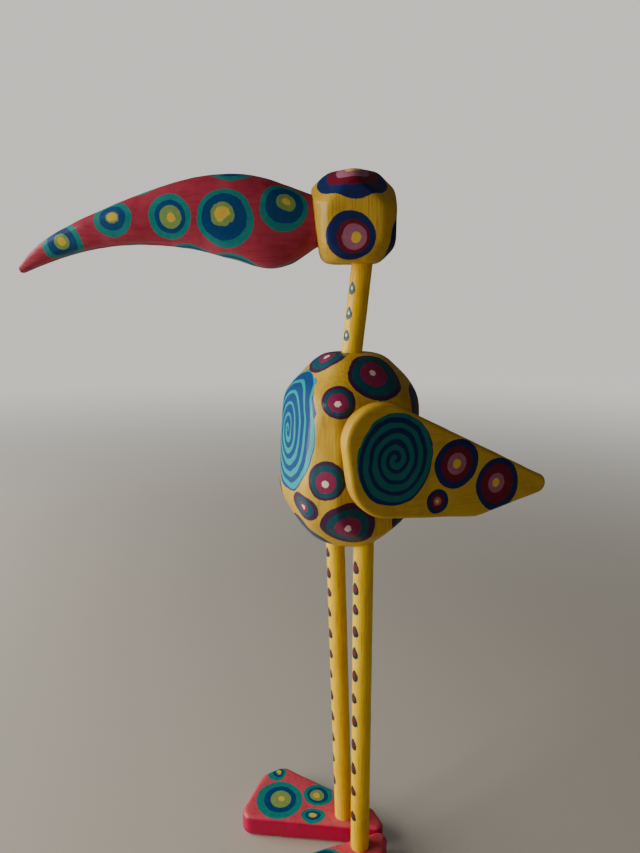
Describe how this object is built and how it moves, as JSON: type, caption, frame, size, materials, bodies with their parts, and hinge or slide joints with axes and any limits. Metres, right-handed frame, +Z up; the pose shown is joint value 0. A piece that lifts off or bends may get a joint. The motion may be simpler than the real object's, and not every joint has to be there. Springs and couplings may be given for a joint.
{
  "type": "painted wooden bird sculpture",
  "caption": "Standing wooden bird on long dowel legs with wedge feet, a faceted body and head, flat board wings and a long down-curved beak, painted with rings and spirals.",
  "frame": {"origin": "middle of the bounding box, at the floor under the feet", "axes": "+Z up, the bird's body faces -Y, its own left side is +X"},
  "size_m": [0.1314, 0.2808, 0.4385],
  "materials": {
    "yellow_painted_wood": "satin varnish over hand-brushed yellow paint with painted rings",
    "raspberry_painted_wood": "satin varnish over hand-brushed raspberry paint with painted rings",
    "pink_painted_wood": "satin varnish over hand-brushed pink paint with painted rings"
  },
  "bodies": {
    "root": {"body": "yellow_painted_wood", "neck": "yellow_painted_wood", "head": "yellow_painted_wood", "beak": "raspberry_painted_wood", "wing_left": "yellow_painted_wood", "wing_right": "yellow_painted_wood", "leg_left": "yellow_painted_wood", "leg_right": "yellow_painted_wood", "foot_left": "pink_painted_wood", "foot_right": "pink_painted_wood"}
  },
  "joints": []
}
